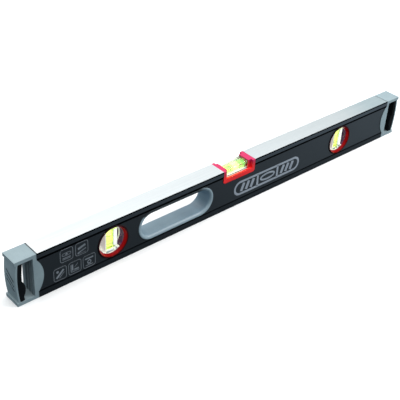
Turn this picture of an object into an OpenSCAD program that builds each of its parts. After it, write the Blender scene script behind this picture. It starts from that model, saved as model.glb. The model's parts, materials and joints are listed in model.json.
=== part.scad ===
// Box-beam spirit level with one level vial, two plumb vials, a hand slot and hooked end caps.
// Millimetres. Origin at the middle of the base, +X along the level, front towards -Y, +Z up.

/* [Body] */
// overall length over both end caps
level_l = 600; // [500:5:900]
// height between the two measuring faces
level_h = 56; // [46.5:0.5:68]
// depth from front to back
level_d = 23; // [19:0.5:28]
// height of the raised flange strip along each edge of the sides
flange_h = 7.2; // [6:0.1:8.7]
// depth the side webs sit back from the flange strips
web_recess = 1; // [0.8:0.1:1.4]
// thickness of the side webs
web_t = 1.8; // [1.4:0.1:2.4]
// thickness of the measuring faces
face_t = 2.6; // [2:0.1:4]
// bevel along the four long edges
edge_bevel = 0.5; // [0.2:0.1:0.8]
// width of the shadow groove beside each flange strip
groove_w = 1.1; // [0.6:0.1:1.3]
// depth of the shadow groove below the web
groove_d = 0.4; // [0.2:0.1:0.6]

/* [End caps] */
// length of one end cap outside the beam
cap_l = 25; // [21:0.5:30]
// thickness of the cap's top and bottom plates
plate_t = 4; // [3:0.1:5]
// thickness of the wall that closes the beam
cap_wall_t = 4.5; // [3:0.1:6]
// how far the cap stays below the measuring faces and sides
cap_inset = 0.3; // [0.1:0.1:0.5]
// thickness of the bowed outer skin
skin_t = 2; // [1.6:0.1:2.6]
// outward bulge of the bowed skin
bow = 1.8; // [1:0.1:2.5]
// thickness of the rubber pad inside the bow
pad_t = 5.4; // [4:0.1:6.5]
// radius of the swelling on the pad
pad_bump_r = 16; // [12:0.5:20]
// reach of the swelling in from the cap's outer end
pad_reach = 11.1; // [9:0.1:12.5]
// drop of the pad swelling below mid-height
pad_bump_drop = 9.5; // [4:0.5:10]
// reach of the side ears over the beam
ear_reach = 7; // [4:0.5:10]
// gap between the side ears and the flange strips
ear_gap = 1; // [0.4:0.1:3]
// length of the plug inside the beam
cap_plug_l = 15; // [8:0.5:20]
// wall thickness of the plug
cap_plug_t = 1.8; // [1.2:0.1:2.4]
// spacing of the slanted grip grooves
grip_pitch = 6; // [4:0.5:9]
// width of a grip groove
grip_w = 1.6; // [0.8:0.1:2.4]
// depth of a grip groove
grip_d = 0.6; // [0.2:0.1:1]

/* [Hand slot] */
// distance from the level vial's notch to the slot's rim
slot_off = 15.2; // [12:0.2:20]
// overall length of the slot's rim
slot_l = 108; // [90:1:130]
// gap between the slot's rim and the flange strips
slot_gap = 2.2; // [1.6:0.1:5]
// flat width of the rim
slot_rim = 1; // [0.8:0.1:1.6]
// round-over radius from rim to opening
slot_round = 3.4; // [2.4:0.1:4.5]
// wall thickness of the liner
slot_wall = 2.1; // [1.6:0.1:2.3]
// width of one snap barb
barb_w = 10; // [4:0.5:16]

/* [Level vial] */
// length of the notch for the level vial
notch_l = 50; // [41.5:0.5:60]
// depth of the notch below the top face
notch_h = 16.5; // [15.5:0.1:19]
// thickness of the end walls of the vial frame
frame_wall = 4.2; // [3:0.1:5]
// height of the frame's front and back rims
frame_rim = 6; // [5:0.1:6.6]
// radius of the frame's lower corners
frame_corner = 3; // [1:0.1:4]
// depth of the frame inside the beam, below the top face
frame_deep = 33; // [28:0.5:38]
// wall thickness of the white tray
tray_t = 1.2; // [0.8:0.1:1.6]
// gap between the level vial block and each wall of the tray
block_gap = 0.45; // [0.3:0.05:1]
// drop of the level vial block below the top face
block_drop = 1.2; // [0.9:0.1:1.5]
// bore radius of the level vial
bore_r = 3.6; // [3:0.1:4.3]
// thickness of the block above and below the bore
bore_wall = 0.9; // [0.7:0.1:1.2]
// thickness of the block's closed end
end_t = 6.4; // [4:0.2:7]
// length of the plug in the bore
plug_l = 7; // [4:0.2:8]
// reach of the frame's hood over the block's closed end
hood_l = 2.4; // [1.5:0.1:4]
// reach of the frame's hood over the block's plugged end
hood_r = 4.6; // [3:0.1:6]
// wall thickness of the hoods in front of and behind the block
hood_wall = 0.95; // [0.7:0.05:1.2]
// length of the level bubble
bubble_l = 11; // [8:0.5:13]
// radius of the level bubble
bubble_r = 2.4; // [2:0.1:2.5]

/* [Plumb vials] */
// distance from the slot's rim to the bezel beside it
plumb_off = 13.6; // [8:0.2:20]
// gap between the bezel and the flange strips
bezel_gap = 0.6; // [0.3:0.1:3]
// width of the bezel's flat rim
bezel_rim = 2; // [1.5:0.1:2.4]
// depth of the bezel's cone
cone_h = 4; // [2.5:0.1:5]
// wall thickness of the bezel's barrel around the window
barrel_wall = 1.7; // [1.4:0.1:2.2]
// width of the plumb vial block
pblock_w = 14; // [11.6:0.2:16.8]
// depth of the plumb vial block's faces below the sides
pblock_sink = 3.3; // [2.6:0.1:4]
// gap between the plumb vial block's corners and the window
pblock_gap = 0.38; // [0.3:0.02:0.6]
// height by which the holder covers each end of the block
holder_grip = 1.9; // [1.5:0.1:2.3]
// thickness of the holder's plate along the block's side
holder_side = 1; // [0.6:0.1:1.4]
// bore radius of the plumb vials
pbore_r = 4; // [3.6:0.1:4.6]
// length of the plumb bubble
pbubble_l = 9; // [7:0.5:11]
// radius of the plumb bubble
pbubble_r = 3.1; // [2.6:0.1:3.4]

/* [Fits] */
// gap between seated pieces
seat = 0.05; // [0.02:0.01:0.1]
// gap between a barrel and the hole it passes through
hole_gap = 0.2; // [0.1:0.05:0.3]
// gap around a bubble in its channel
bubble_gap = 0.15; // [0.1:0.05:0.2]

/* [Hidden] */
$fn = 72;
eps = 0.02;
zc = level_h / 2;
half_d = level_d / 2;
web_y = half_d - web_recess;
web_h = level_h - 2 * flange_h;
cavity_y = web_y - web_t;
beam_l = level_l - 2 * cap_l;
cap_y = half_d - cap_inset;
end_x = level_l / 2;
beam_x = beam_l / 2;
bow_half = level_h / 2 - cap_inset - plate_t;
bow_r = (bow_half * bow_half + bow * bow) / (2 * bow);
ear_h = web_h - 2 * ear_gap;
ear_r = (ear_h * ear_h / 4 + ear_reach * ear_reach) / (2 * ear_reach);
slot_r = web_h / 2 - slot_gap;
slot_x = notch_l / 2 + slot_off + slot_l / 2;
slot_s = slot_l / 2 - slot_r;
throat_r = slot_r - slot_rim - slot_round;
liner_r = throat_r + slot_wall;
bezel_r = web_h / 2 - bezel_gap;
plumb_x = slot_x + slot_l / 2 + plumb_off + bezel_r;
hole_r = bezel_r - bezel_rim;
barrel_r = hole_r - hole_gap;
window_r = barrel_r - barrel_wall;
notch_z = level_h - notch_h;
frame_half = notch_l / 2 - seat;
frame_in = notch_l / 2 - frame_wall;
frame_y = cavity_y - seat;
frame_low = level_h - frame_deep;
block_l = 2 * frame_in - 2 * seat;
block_h = 2 * (bore_r + bore_wall);
block_top = level_h - block_drop;
block_z = block_top - block_h / 2;
tray_y = frame_y - tray_t;
block_w = 2 * (tray_y - block_gap);
liquid_l = block_l - end_t - plug_l - 2 * seat;
liquid_x = (end_t - plug_l) / 2;
bubble_z = block_z + bore_r - bubble_r - bubble_gap - 0.15;
bubble_travel = liquid_l / 2 - abs(liquid_x) - bubble_l / 2 - bubble_gap - 0.2;
pblock_d = level_d - 2 * pblock_sink;
pblock_h = 2 * sqrt(pow(window_r - pblock_gap, 2) - pow(pblock_w / 2, 2));
pend_t = 2.2;
pplug_l = 2.2;
pliquid_h = pblock_h - pend_t - pplug_l - 2 * seat;
pliquid_z = zc + (pend_t - pplug_l) / 2;
pbubble_top = pliquid_z + pliquid_h / 2 - 0.35;
pbubble_z = pbubble_top - pbubble_l / 2;
pbubble_travel = pliquid_h - pbubble_l - 0.7;
holder_z = pblock_h / 2 - holder_grip;
holder_y = half_d - cone_h;

// a flat shape in x and z, given depth front to back
module along_y(d) {
  rotate([90, 0, 0])
    linear_extrude(height = d, center = true)
      children();
}

// a flat shape in y and z, given length along x
module along_x(l) {
  rotate([90, 0, 90])
    linear_extrude(height = l, center = true)
      children();
}

// round-ended slot outline
module stadium(s, r) {
  union() {
    square([2 * s, 2 * r], center = true);
    translate([s, 0])
      circle(r = r);
    translate([-s, 0])
      circle(r = r);
  }
}

// capsule along z, built as one turned shape
module capsule(l, r) {
  rotate_extrude()
    intersection() {
      union() {
        translate([0, -l / 2 + r])
          square([r, l - 2 * r]);
        translate([0, l / 2 - r])
          circle(r = r);
        translate([0, -l / 2 + r])
          circle(r = r);
      }
      translate([0, -l / 2 - 1])
        square([r + 1, l + 2]);
    }
}

module beam_outline() {
  b = edge_bevel;
  difference() {
    polygon([
      [-half_d + b, 0], [half_d - b, 0], [half_d, b], [half_d, level_h - b],
      [half_d - b, level_h], [-half_d + b, level_h], [-half_d, level_h - b], [-half_d, b]
    ]);
    for (s = [-1, 1])
      translate([s * (half_d + 5 - web_recess), zc])
        square([10, level_h - 2 * flange_h], center = true);
    for (s = [-1, 1], t = [-1, 1])
      translate([s * (half_d + 5 - web_recess - groove_d), zc + t * (zc - flange_h - groove_w / 2)])
        square([10, groove_w], center = true);
  }
}

module beam_cavity() {
  c = 0.5;
  h = level_h - face_t;
  polygon([
    [-cavity_y + c, face_t], [cavity_y - c, face_t], [cavity_y, face_t + c], [cavity_y, h - c],
    [cavity_y - c, h], [-cavity_y + c, h], [-cavity_y, h - c], [-cavity_y, face_t + c]
  ]);
}

module beam() {
  color([0.13, 0.15, 0.18])
    difference() {
      along_x(beam_l)
        difference() {
          beam_outline();
          beam_cavity();
        }
      for (s = [-1, 1])
        translate([s * plumb_x, 0, zc])
          rotate([90, 0, 0])
            cylinder(h = level_d + 2, r = hole_r, center = true);
      translate([-slot_x, 0, zc])
        along_y(level_d + 2)
          stadium(slot_s, liner_r + hole_gap);
      translate([0, 0, notch_z])
        along_y(level_d + 2)
          notch_outline(notch_l / 2, notch_h + 1, frame_corner);
    }
}

// outline of the notch and frame, flat across the top and round at the lower corners
module notch_outline(hx, hz, r) {
  union() {
    translate([-hx, r])
      square([2 * hx, hz - r]);
    translate([-hx + r, 0])
      square([2 * hx - 2 * r, r + 1]);
    translate([-hx + r, r])
      circle(r = r);
    translate([hx - r, r])
      circle(r = r);
  }
}

// end cap drawn for the -X end
module cap_body() {
  z0 = cap_inset;
  z1 = level_h - cap_inset;
  x0 = -end_x;
  x1 = -beam_x - seat;
  difference() {
    union() {
      along_y(2 * cap_y)
        union() {
          translate([x0, z0])
            square([x1 - x0, plate_t]);
          translate([x0, z1 - plate_t])
            square([x1 - x0, plate_t]);
          translate([x1 - cap_wall_t, z0])
            square([cap_wall_t, z1 - z0]);
        }
      along_y(2 * cap_y - 0.8)
        bow_band(0, skin_t);
      for (s = [-1, 1])
        translate([0, s * (web_y + seat + (cap_y - web_y - seat) / 2), 0])
          along_y(cap_y - web_y - seat)
            intersection() {
              translate([-beam_x + ear_reach - ear_r, zc])
                circle(r = ear_r, $fn = 120);
              translate([x1 - 1, zc - ear_h / 2])
                square([ear_reach + 2, ear_h]);
            }
      cap_plug();
    }
    for (i = [-1, 0, 1])
      translate([-end_x - 1 + grip_d + bow * 0.1, 0, zc + i * grip_pitch])
        rotate([35, 0, 0])
          cube([2, level_d * 0.7, grip_w], center = true);
  }
}

// band parallel to the bowed skin, from depth a to depth b
module bow_band(a, b) {
  cx = -end_x + bow_r;
  intersection() {
    difference() {
      translate([cx, zc])
        circle(r = bow_r - a, $fn = 360);
      translate([cx, zc])
        circle(r = bow_r - b, $fn = 360);
    }
    translate([-end_x - 1, cap_inset + plate_t - 0.5])
      square([cap_l - cap_wall_t, 2 * bow_half + 1]);
  }
}

module cap_plug() {
  w = 2 * (cavity_y - 0.3);
  h = level_h - 2 * face_t - 0.6;
  x0 = -beam_x - seat - 1;
  difference() {
    union() {
      translate([x0, -w / 2, zc - h / 2])
        cube([cap_plug_l + 1, w, h]);
      for (s = [-1, 1], t = [-1, 0, 1])
        translate([x0 + cap_plug_l / 2 + 1, s * (cavity_y - 0.4), zc + t * h * 0.36])
          cube([cap_plug_l - 4, 0.8 - 2 * seat, 1.4], center = true);
      for (s = [-1, 1])
        translate([x0 + cap_plug_l / 2 + 1, 0, zc + s * (zc - face_t - 0.4)])
          cube([cap_plug_l - 4, 1.4, 0.8 - 2 * seat], center = true);
    }
    translate([x0 + 1 + cap_plug_t, -w / 2 + cap_plug_t, zc - h / 2 + cap_plug_t])
      cube([cap_plug_l + 2, w - 2 * cap_plug_t, h - 2 * cap_plug_t]);
  }
}

// rubber pad drawn for the -X end
module pad_body() {
  lo = cap_inset + plate_t + seat;
  along_y(2 * cap_y - 1)
    intersection() {
      union() {
        bow_band(skin_t + seat, skin_t + pad_t);
        difference() {
          translate([-end_x + pad_reach - pad_bump_r, zc - pad_bump_drop])
            circle(r = pad_bump_r, $fn = 120);
          translate([-end_x - 30 + skin_t + 1, 0])
            square([30, level_h]);
        }
      }
      translate([-end_x, lo])
        square([cap_l - cap_wall_t - 1, level_h - 2 * lo]);
      translate([-end_x + bow_r, zc])
        circle(r = bow_r - skin_t - seat, $fn = 360);
    }
}

module left_end_cap() {
  color([0.58, 0.66, 0.7])
    cap_body();
}

module right_end_cap() {
  color([0.58, 0.66, 0.7])
    rotate([0, 0, 180])
      cap_body();
}

module left_cap_pad() {
  color([0.06, 0.07, 0.08])
    pad_body();
}

module right_cap_pad() {
  color([0.06, 0.07, 0.08])
    rotate([0, 0, 180])
      pad_body();
}

// cross-section of one liner half: x away from the slot's middle line, y out towards the face
module liner_section(lip_in, lip_out) {
  v0 = seat / 2;
  m = throat_r + slot_wall / 2;
  w = web_y + seat;
  c = 0.3;
  difference() {
    polygon(concat(
      lip_out ? [[throat_r, -1.5], [m - seat, -1.5], [m - seat, v0]] : [],
      lip_in ? [[throat_r, 1.6], [m, 1.6], [m, v0]] : [],
      [
        [liner_r, v0], [liner_r, w], [slot_r, w], [slot_r, half_d - c],
        [slot_r - c, half_d], [throat_r, half_d]
      ]
    ));
    difference() {
      translate([throat_r - 1, half_d - slot_round])
        square([slot_round + 1, slot_round + 1]);
      translate([slot_r - slot_rim, half_d - slot_round])
        circle(r = slot_round);
    }
  }
}

module liner_half(lip_in, lip_out) {
  union() {
    translate([slot_s, 0, 0])
      rotate([0, 0, -90])
        rotate_extrude(angle = 180)
          liner_section(lip_in, lip_out);
    translate([-slot_s, 0, 0])
      rotate([0, 0, 90])
        rotate_extrude(angle = 180)
          liner_section(lip_in, lip_out);
    for (m = [0, 1])
      mirror([0, m, 0])
        union() {
          along_x(2 * slot_s)
            liner_section(lip_in, lip_out);
          for (s = [-1, 1])
            translate([s * slot_s * 0.6, 0, 0])
              along_x(barb_w)
                polygon([
                  [liner_r - 0.5, cavity_y - seat], [liner_r + 1, cavity_y - seat],
                  [liner_r + 1, cavity_y - 0.6], [liner_r - 0.5, cavity_y - 3]
                ]);
        }
  }
}

module slot_liner_front() {
  color([0.55, 0.63, 0.67])
    translate([-slot_x, 0, zc])
      rotate([90, 0, 0])
        liner_half(false, true);
}

module slot_liner_back() {
  color([0.55, 0.63, 0.67])
    translate([-slot_x, 0, zc])
      mirror([0, 1, 0])
        rotate([90, 0, 0])
          liner_half(true, false);
}

module level_vial_frame() {
  hood_y = block_w / 2 + seat + hood_wall;
  hood_z = notch_z + frame_rim - 0.5;
  color([0.82, 0.08, 0.12])
    difference() {
      union() {
        difference() {
          union() {
            translate([0, 0, notch_z + seat])
              along_y(level_d - 0.1)
                notch_outline(frame_half, notch_h - seat - 0.1, frame_corner);
            translate([-frame_half, -frame_y, frame_low])
              cube([2 * frame_half, 2 * frame_y, notch_z - frame_low + frame_rim]);
          }
          // space for the block, open at top, front and back above the rims
          translate([-frame_in, -half_d - 1, notch_z + frame_rim])
            cube([2 * frame_in, level_d + 2, notch_h]);
          // space for the tray between the rims
          translate([-frame_in, -frame_y - eps, frame_low + 2])
            cube([2 * frame_in, 2 * frame_y + 2 * eps, notch_z + frame_rim - frame_low]);
        }
        // hoods that hold down the block's ends
        translate([-frame_in - 1, -hood_y, hood_z])
          cube([hood_l + 1, 2 * hood_y, level_h - 0.1 - hood_z]);
        translate([frame_in - hood_r, -hood_y, hood_z])
          cube([hood_r + 1, 2 * hood_y, level_h - 0.1 - hood_z]);
      }
      // seats for the block's ends
      translate([0, 0, block_z])
        cube([block_l + 2 * seat, block_w + 2 * seat, block_h + 2 * seat], center = true);
    }
}

module level_vial_tray() {
  z0 = frame_low + 2 + seat;
  z1 = notch_z + frame_rim - 0.6;
  color([0.95, 0.95, 0.93])
    difference() {
      translate([-frame_in + seat, -frame_y, z0])
        cube([2 * frame_in - 2 * seat, 2 * frame_y, z1 - z0]);
      translate([-frame_in - 1, -tray_y, z0 + tray_t])
        cube([2 * frame_in + 2, 2 * tray_y, z1]);
    }
}

module level_vial_block() {
  x0 = -block_l / 2;
  color([0.85, 0.95, 0.8, 0.4])
    difference() {
      translate([0, 0, block_z])
        along_x(block_l)
          union() {
            square([block_w - 2, block_h], center = true);
            square([block_w, block_h - 2], center = true);
            for (s = [-1, 1], t = [-1, 1])
              translate([s * (block_w / 2 - 1), t * (block_h / 2 - 1)])
                circle(r = 1, $fn = 32);
          }
      translate([x0 + end_t, 0, block_z])
        rotate([0, 90, 0])
          cylinder(h = block_l, r = bore_r);
      for (s = [-1, 1])
        translate([s * (bubble_l / 2 + 0.5), 0, block_z])
          rotate([0, 90, 0])
            cylinder(h = 0.6, r = bore_r + 0.25, center = true);
    }
}

module level_vial_plug() {
  color([0.55, 0.6, 0.2])
    translate([block_l / 2 - plug_l, 0, block_z])
      rotate([0, 90, 0])
        cylinder(h = plug_l, r = bore_r - seat / 2);
}

module level_vial_liquid() {
  color([0.75, 0.95, 0.25, 0.6])
    difference() {
      translate([liquid_x, 0, block_z])
        rotate([0, 90, 0])
          cylinder(h = liquid_l, r = bore_r - eps, center = true);
      translate([0, 0, bubble_z])
        rotate([0, 90, 0])
          capsule(2 * bubble_travel + bubble_l + 2 * bubble_gap, bubble_r + bubble_gap);
    }
}

// one thin band on the bore wall
module ring(r) {
  difference() {
    cylinder(h = 0.5, r = r + 0.23, center = true);
    cylinder(h = 1, r = r, center = true);
  }
}

module level_vial_rings() {
  color([0.1, 0.1, 0.1])
    for (s = [-1, 1])
      translate([s * (bubble_l / 2 + 0.5), 0, block_z])
        rotate([0, 90, 0])
          ring(bore_r);
}

module level_bubble() {
  color([0.9, 1, 0.8])
    translate([0, 0, bubble_z])
      rotate([0, 90, 0])
        capsule(bubble_l, bubble_r);
}

// half of the round plumb window: axis along y, face towards -Y
module bezel() {
  v0 = 0.5 + seat;
  rim = bezel_r;
  rotate([90, 0, 0])
    rotate_extrude()
      union() {
        polygon([
          [window_r, v0], [barrel_r, v0], [barrel_r, cavity_y - 2.4], [barrel_r + 0.5, cavity_y - 0.6],
          [barrel_r + 0.5, cavity_y - seat], [barrel_r, cavity_y - seat], [barrel_r, web_y + seat],
          [rim, web_y + seat], [rim, half_d - 0.5], [rim - 0.5, half_d], [hole_r, half_d],
          [window_r, half_d - cone_h]
        ]);
      }
}

module carrier() {
  difference() {
    union() {
      rotate([90, 0, 0])
        difference() {
          cylinder(h = 1, r = barrel_r, center = true);
          cylinder(h = 2, r = window_r - 1.2, center = true);
        }
      // top and bottom grips joined by one side plate
      difference() {
        rotate([90, 0, 0])
          cylinder(h = 2 * holder_y, r = window_r - seat, center = true);
        translate([30 - pblock_w / 2, 0, 0])
          cube([60, 60, 2 * holder_z], center = true);
        translate([-30 - pblock_w / 2 - seat - holder_side, 0, 0])
          cube([60, 60, 2 * holder_z], center = true);
      }
    }
    cube([pblock_w + 2 * seat, pblock_d + 2 * seat, pblock_h + 2 * seat], center = true);
    // ribs on the holder's faces, left standing between short slots
    for (k = [0, 1, 2], t = [-1, 1])
      translate([4 + 2 * k, t * holder_y, 0])
        cube([0.8, 1.6, 60], center = true);
  }
}

module plumb_block() {
  c = 0.5;
  w = pblock_w / 2;
  d = pblock_d / 2;
  difference() {
    linear_extrude(height = pblock_h, center = true)
      polygon([
        [-w + c, -d], [w - c, -d], [w, -d + c], [w, d - c],
        [w - c, d], [-w + c, d], [-w, d - c], [-w, -d + c]
      ]);
    translate([0, 0, -pblock_h / 2 + pend_t])
      cylinder(h = pblock_h, r = pbore_r);
    for (s = [-1, 1])
      translate([0, 0, s * (pbubble_l / 2 + 0.5)])
        cylinder(h = 0.6, r = pbore_r + 0.25, center = true);
  }
}

module plumb_plug() {
  translate([0, 0, pblock_h / 2 - pplug_l])
    cylinder(h = pplug_l, r = pbore_r - seat / 2);
}

module plumb_liquid() {
  difference() {
    translate([0, 0, pliquid_z - zc])
      cylinder(h = pliquid_h, r = pbore_r - eps, center = true);
    translate([0, 0, pbubble_z - zc - pbubble_travel / 2])
      capsule(pbubble_travel + pbubble_l + 2 * bubble_gap, pbubble_r + bubble_gap);
  }
}

module plumb_rings() {
  for (s = [-1, 1])
    translate([0, 0, s * (pbubble_l / 2 + 0.5)])
      ring(pbore_r);
}

module at_plumb(s) {
  translate([s * plumb_x, 0, zc])
    children();
}

module left_bezel_front() {
  color([0.8, 0.06, 0.1])
    at_plumb(-1)
      bezel();
}

module left_bezel_back() {
  color([0.8, 0.06, 0.1])
    at_plumb(-1)
      mirror([0, 1, 0])
        bezel();
}

module left_vial_carrier() {
  color([0.93, 0.93, 0.9])
    at_plumb(-1)
      carrier();
}

module left_vial_block() {
  color([0.85, 0.95, 0.8, 0.4])
    at_plumb(-1)
      plumb_block();
}

module left_vial_plug() {
  color([0.55, 0.6, 0.2])
    at_plumb(-1)
      plumb_plug();
}

module left_vial_liquid() {
  color([0.75, 0.95, 0.25, 0.6])
    at_plumb(-1)
      plumb_liquid();
}

module left_vial_rings() {
  color([0.1, 0.1, 0.1])
    at_plumb(-1)
      plumb_rings();
}

module left_bubble() {
  color([0.9, 1, 0.8])
    translate([-plumb_x, 0, pbubble_z])
      capsule(pbubble_l, pbubble_r);
}

module right_bezel_front() {
  color([0.8, 0.06, 0.1])
    at_plumb(1)
      bezel();
}

module right_bezel_back() {
  color([0.8, 0.06, 0.1])
    at_plumb(1)
      mirror([0, 1, 0])
        bezel();
}

module right_vial_carrier() {
  color([0.93, 0.93, 0.9])
    at_plumb(1)
      carrier();
}

module right_vial_block() {
  color([0.85, 0.95, 0.8, 0.4])
    at_plumb(1)
      plumb_block();
}

module right_vial_plug() {
  color([0.55, 0.6, 0.2])
    at_plumb(1)
      plumb_plug();
}

module right_vial_liquid() {
  color([0.75, 0.95, 0.25, 0.6])
    at_plumb(1)
      plumb_liquid();
}

module right_vial_rings() {
  color([0.1, 0.1, 0.1])
    at_plumb(1)
      plumb_rings();
}

module right_bubble() {
  color([0.9, 1, 0.8])
    translate([plumb_x, 0, pbubble_z])
      capsule(pbubble_l, pbubble_r);
}

beam();
left_end_cap();
right_end_cap();
left_cap_pad();
right_cap_pad();
slot_liner_front();
slot_liner_back();
level_vial_frame();
level_vial_tray();
level_vial_block();
level_vial_plug();
level_vial_liquid();
level_vial_rings();
level_bubble();
left_bezel_front();
left_bezel_back();
left_vial_carrier();
left_vial_block();
left_vial_plug();
left_vial_liquid();
left_vial_rings();
left_bubble();
right_bezel_front();
right_bezel_back();
right_vial_carrier();
right_vial_block();
right_vial_plug();
right_vial_liquid();
right_vial_rings();
right_bubble();
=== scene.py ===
# %% [markdown]
# # A box-beam spirit level, piece by piece
# The level is one hollow aluminium bar with two rubber-padded end caps, a lined slot for the
# hand, and three clear vials. The dimensions come from a finished CAD frame. This lesson gives
# every piece its real surface, and rebuilds the ones that need softer edges or real glass.

import json
import math

import bmesh
import bpy
from mathutils import Matrix, Vector

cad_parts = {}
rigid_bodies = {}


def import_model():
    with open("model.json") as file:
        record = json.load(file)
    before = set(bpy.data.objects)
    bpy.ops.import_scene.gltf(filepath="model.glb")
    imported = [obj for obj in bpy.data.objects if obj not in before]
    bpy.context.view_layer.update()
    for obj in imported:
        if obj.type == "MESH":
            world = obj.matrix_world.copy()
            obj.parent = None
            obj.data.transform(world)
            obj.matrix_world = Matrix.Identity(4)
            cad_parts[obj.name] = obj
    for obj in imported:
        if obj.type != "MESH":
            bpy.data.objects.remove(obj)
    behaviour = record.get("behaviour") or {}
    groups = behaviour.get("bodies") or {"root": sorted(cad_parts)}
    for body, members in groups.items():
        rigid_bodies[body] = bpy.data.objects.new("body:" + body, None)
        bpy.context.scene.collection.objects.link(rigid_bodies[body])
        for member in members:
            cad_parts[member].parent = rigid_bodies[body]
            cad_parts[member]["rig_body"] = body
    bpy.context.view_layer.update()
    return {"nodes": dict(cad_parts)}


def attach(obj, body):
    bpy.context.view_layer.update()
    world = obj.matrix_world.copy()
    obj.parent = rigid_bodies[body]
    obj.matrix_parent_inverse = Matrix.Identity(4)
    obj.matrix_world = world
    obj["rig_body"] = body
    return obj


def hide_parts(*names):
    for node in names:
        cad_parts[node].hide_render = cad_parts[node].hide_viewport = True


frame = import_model()
nodes = frame["nodes"]

# %% [markdown]
# ## Sizes
# Every size below is in metres and is one of the CAD frame's own. The beam stands on its lower
# measuring face, so the middle of its height is half of 56 mm up. The sizes could be measured on
# the meshes, but a named size also says what each later number means.

# %% Sizes
MM = 0.001
HEIGHT = 56 * MM
DEPTH = 23 * MM
MID_Z = HEIGHT / 2
WEB_Y = 10.5 * MM
SLOT_X = -94.2 * MM
PLUMB_X = 182 * MM
VIAL_Z = 50.3 * MM
SIDES = (("left", -1), ("right", 1))
print("beam section", DEPTH, "by", HEIGHT)


# %% [markdown]
# ## Helpers for surfaces
# A material is a small network. The coordinates of the object feed a noise pattern, the pattern moves the
# colour, the roughness and a fine bump, and those feed one Principled shader. The same could be painted by
# hand and wrapped round each piece, but a pattern made from coordinates fits every piece and stays sharp
# close up. Values that are the same all over a surface are set on the shader's own sockets, which makes the
# material easy to read.

# %% Surface helpers
def surface(name, **values):
    mat = bpy.data.materials.new(name)
    mat.use_nodes = True
    shader = mat.node_tree.nodes["Principled BSDF"]
    for key, value in values.items():
        shader.inputs[key.replace("_", " ")].default_value = value
    return mat, mat.node_tree, shader


def coordinates(tree, scale=(1, 1, 1)):
    tex = tree.nodes.new("ShaderNodeTexCoord")
    mapping = tree.nodes.new("ShaderNodeMapping")
    mapping.inputs["Scale"].default_value = scale
    tree.links.new(tex.outputs["Object"], mapping.inputs["Vector"])
    return mapping.outputs["Vector"]


def noise(tree, scale, detail=3.0, stretch=(1, 1, 1)):
    n = tree.nodes.new("ShaderNodeTexNoise")
    n.inputs["Scale"].default_value = scale
    n.inputs["Detail"].default_value = detail
    tree.links.new(coordinates(tree, stretch), n.inputs["Vector"])
    return n.outputs["Fac"]


def ramp(tree, value, *stops):
    r = tree.nodes.new("ShaderNodeValToRGB")
    points = r.color_ramp.elements
    while len(points) < len(stops):
        points.new(0.5)
    for point, (at, colour) in zip(points, stops):
        point.position = at
        point.color = (*colour, 1)
    tree.links.new(value, r.inputs["Fac"])
    return r.outputs["Color"]


def grey(v):
    return (v, v, v)


def bumped(tree, shader, height, strength, distance):
    b = tree.nodes.new("ShaderNodeBump")
    b.inputs["Strength"].default_value = strength
    b.inputs["Distance"].default_value = distance
    tree.links.new(height, b.inputs["Height"])
    tree.links.new(b.outputs["Normal"], shader.inputs["Normal"])


# %% [markdown]
# Some finishes change with the place on the piece: a band, an edge, a slow fade. A few small
# helpers turn a coordinate into such a mask, so that each material below reads like a sentence.

# %% Masks and sums in a material
def math_node(tree, kind, a, b=0.0):
    m = tree.nodes.new("ShaderNodeMath")
    m.operation = kind
    for socket, value in zip(m.inputs, (a, b)):
        if isinstance(value, (int, float)):
            socket.default_value = value
        else:
            tree.links.new(value, socket)
    return m.outputs[0]


def mix_colour(tree, factor, a, b, kind="MIX"):
    m = tree.nodes.new("ShaderNodeMix")
    m.data_type = "RGBA"
    m.blend_type = kind
    for socket, value in ((m.inputs[0], factor), (m.inputs[6], a), (m.inputs[7], b)):
        if isinstance(value, (int, float)):
            socket.default_value = value
        elif isinstance(value, tuple):
            socket.default_value = (*value, 1)
        else:
            tree.links.new(value, socket)
    return m.outputs[2]


def place_on(tree):
    """The X, Y and Z of a point on the piece."""
    tex = tree.nodes.new("ShaderNodeTexCoord")
    split = tree.nodes.new("ShaderNodeSeparateXYZ")
    tree.links.new(tex.outputs["Object"], split.inputs[0])
    return split.outputs


def size_of(tree, value):
    return math_node(tree, "ABSOLUTE", value)


def share(tree, value, low, high):
    """How far value has come on its way from low, which gives 0, to high, which gives 1."""
    return math_node(tree, "MULTIPLY", math_node(tree, "SUBTRACT", value, low), 1 / (high - low))


def band(tree, value, low, high):
    """1 where value lies between low and high, and 0 elsewhere."""
    above = math_node(tree, "GREATER_THAN", value, low)
    return math_node(tree, "MULTIPLY", above, math_node(tree, "LESS_THAN", value, high))


def multiply_colour(mat, colour_of):
    """Multiply a finished material's colour by the one that colour_of draws in its tree."""
    tree = mat.node_tree
    base = tree.nodes["Principled BSDF"].inputs["Base Color"]
    old = base.links[0].from_socket
    tree.links.new(mix_colour(tree, 1.0, old, colour_of(tree), "MULTIPLY"), base)


# %% [markdown]
# ## The beam's two finishes
# The extrusion is anodised almost black, then its two measuring faces are milled flat, which cuts through the
# dark skin and leaves bare metal. The faces could be pieces of their own, but one material that asks how high
# a point lies keeps the beam whole and its border sharp. The same question draws the raised strip along the
# top of each side, which is painted lighter as a painted sheen that grows towards the right end. It also
# draws the dark lines above and below the strip, which are painted shade. A line is made as black rough
# metal, because a black plastic still shines where it is seen at a flat angle. The milled faces are painted a
# little darker towards the right end, which is painted shade too.

# %% Beam finish
MILLED_END = 274.1 * MM
LINE_LOW = 18.5 * MM
STRIP_LOW = 21.9 * MM
STRIP_HIGH = 26.4 * MM
EDGE_HIGH = 27.95 * MM
BLACK = (0.002, 0.003, 0.004)


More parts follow.
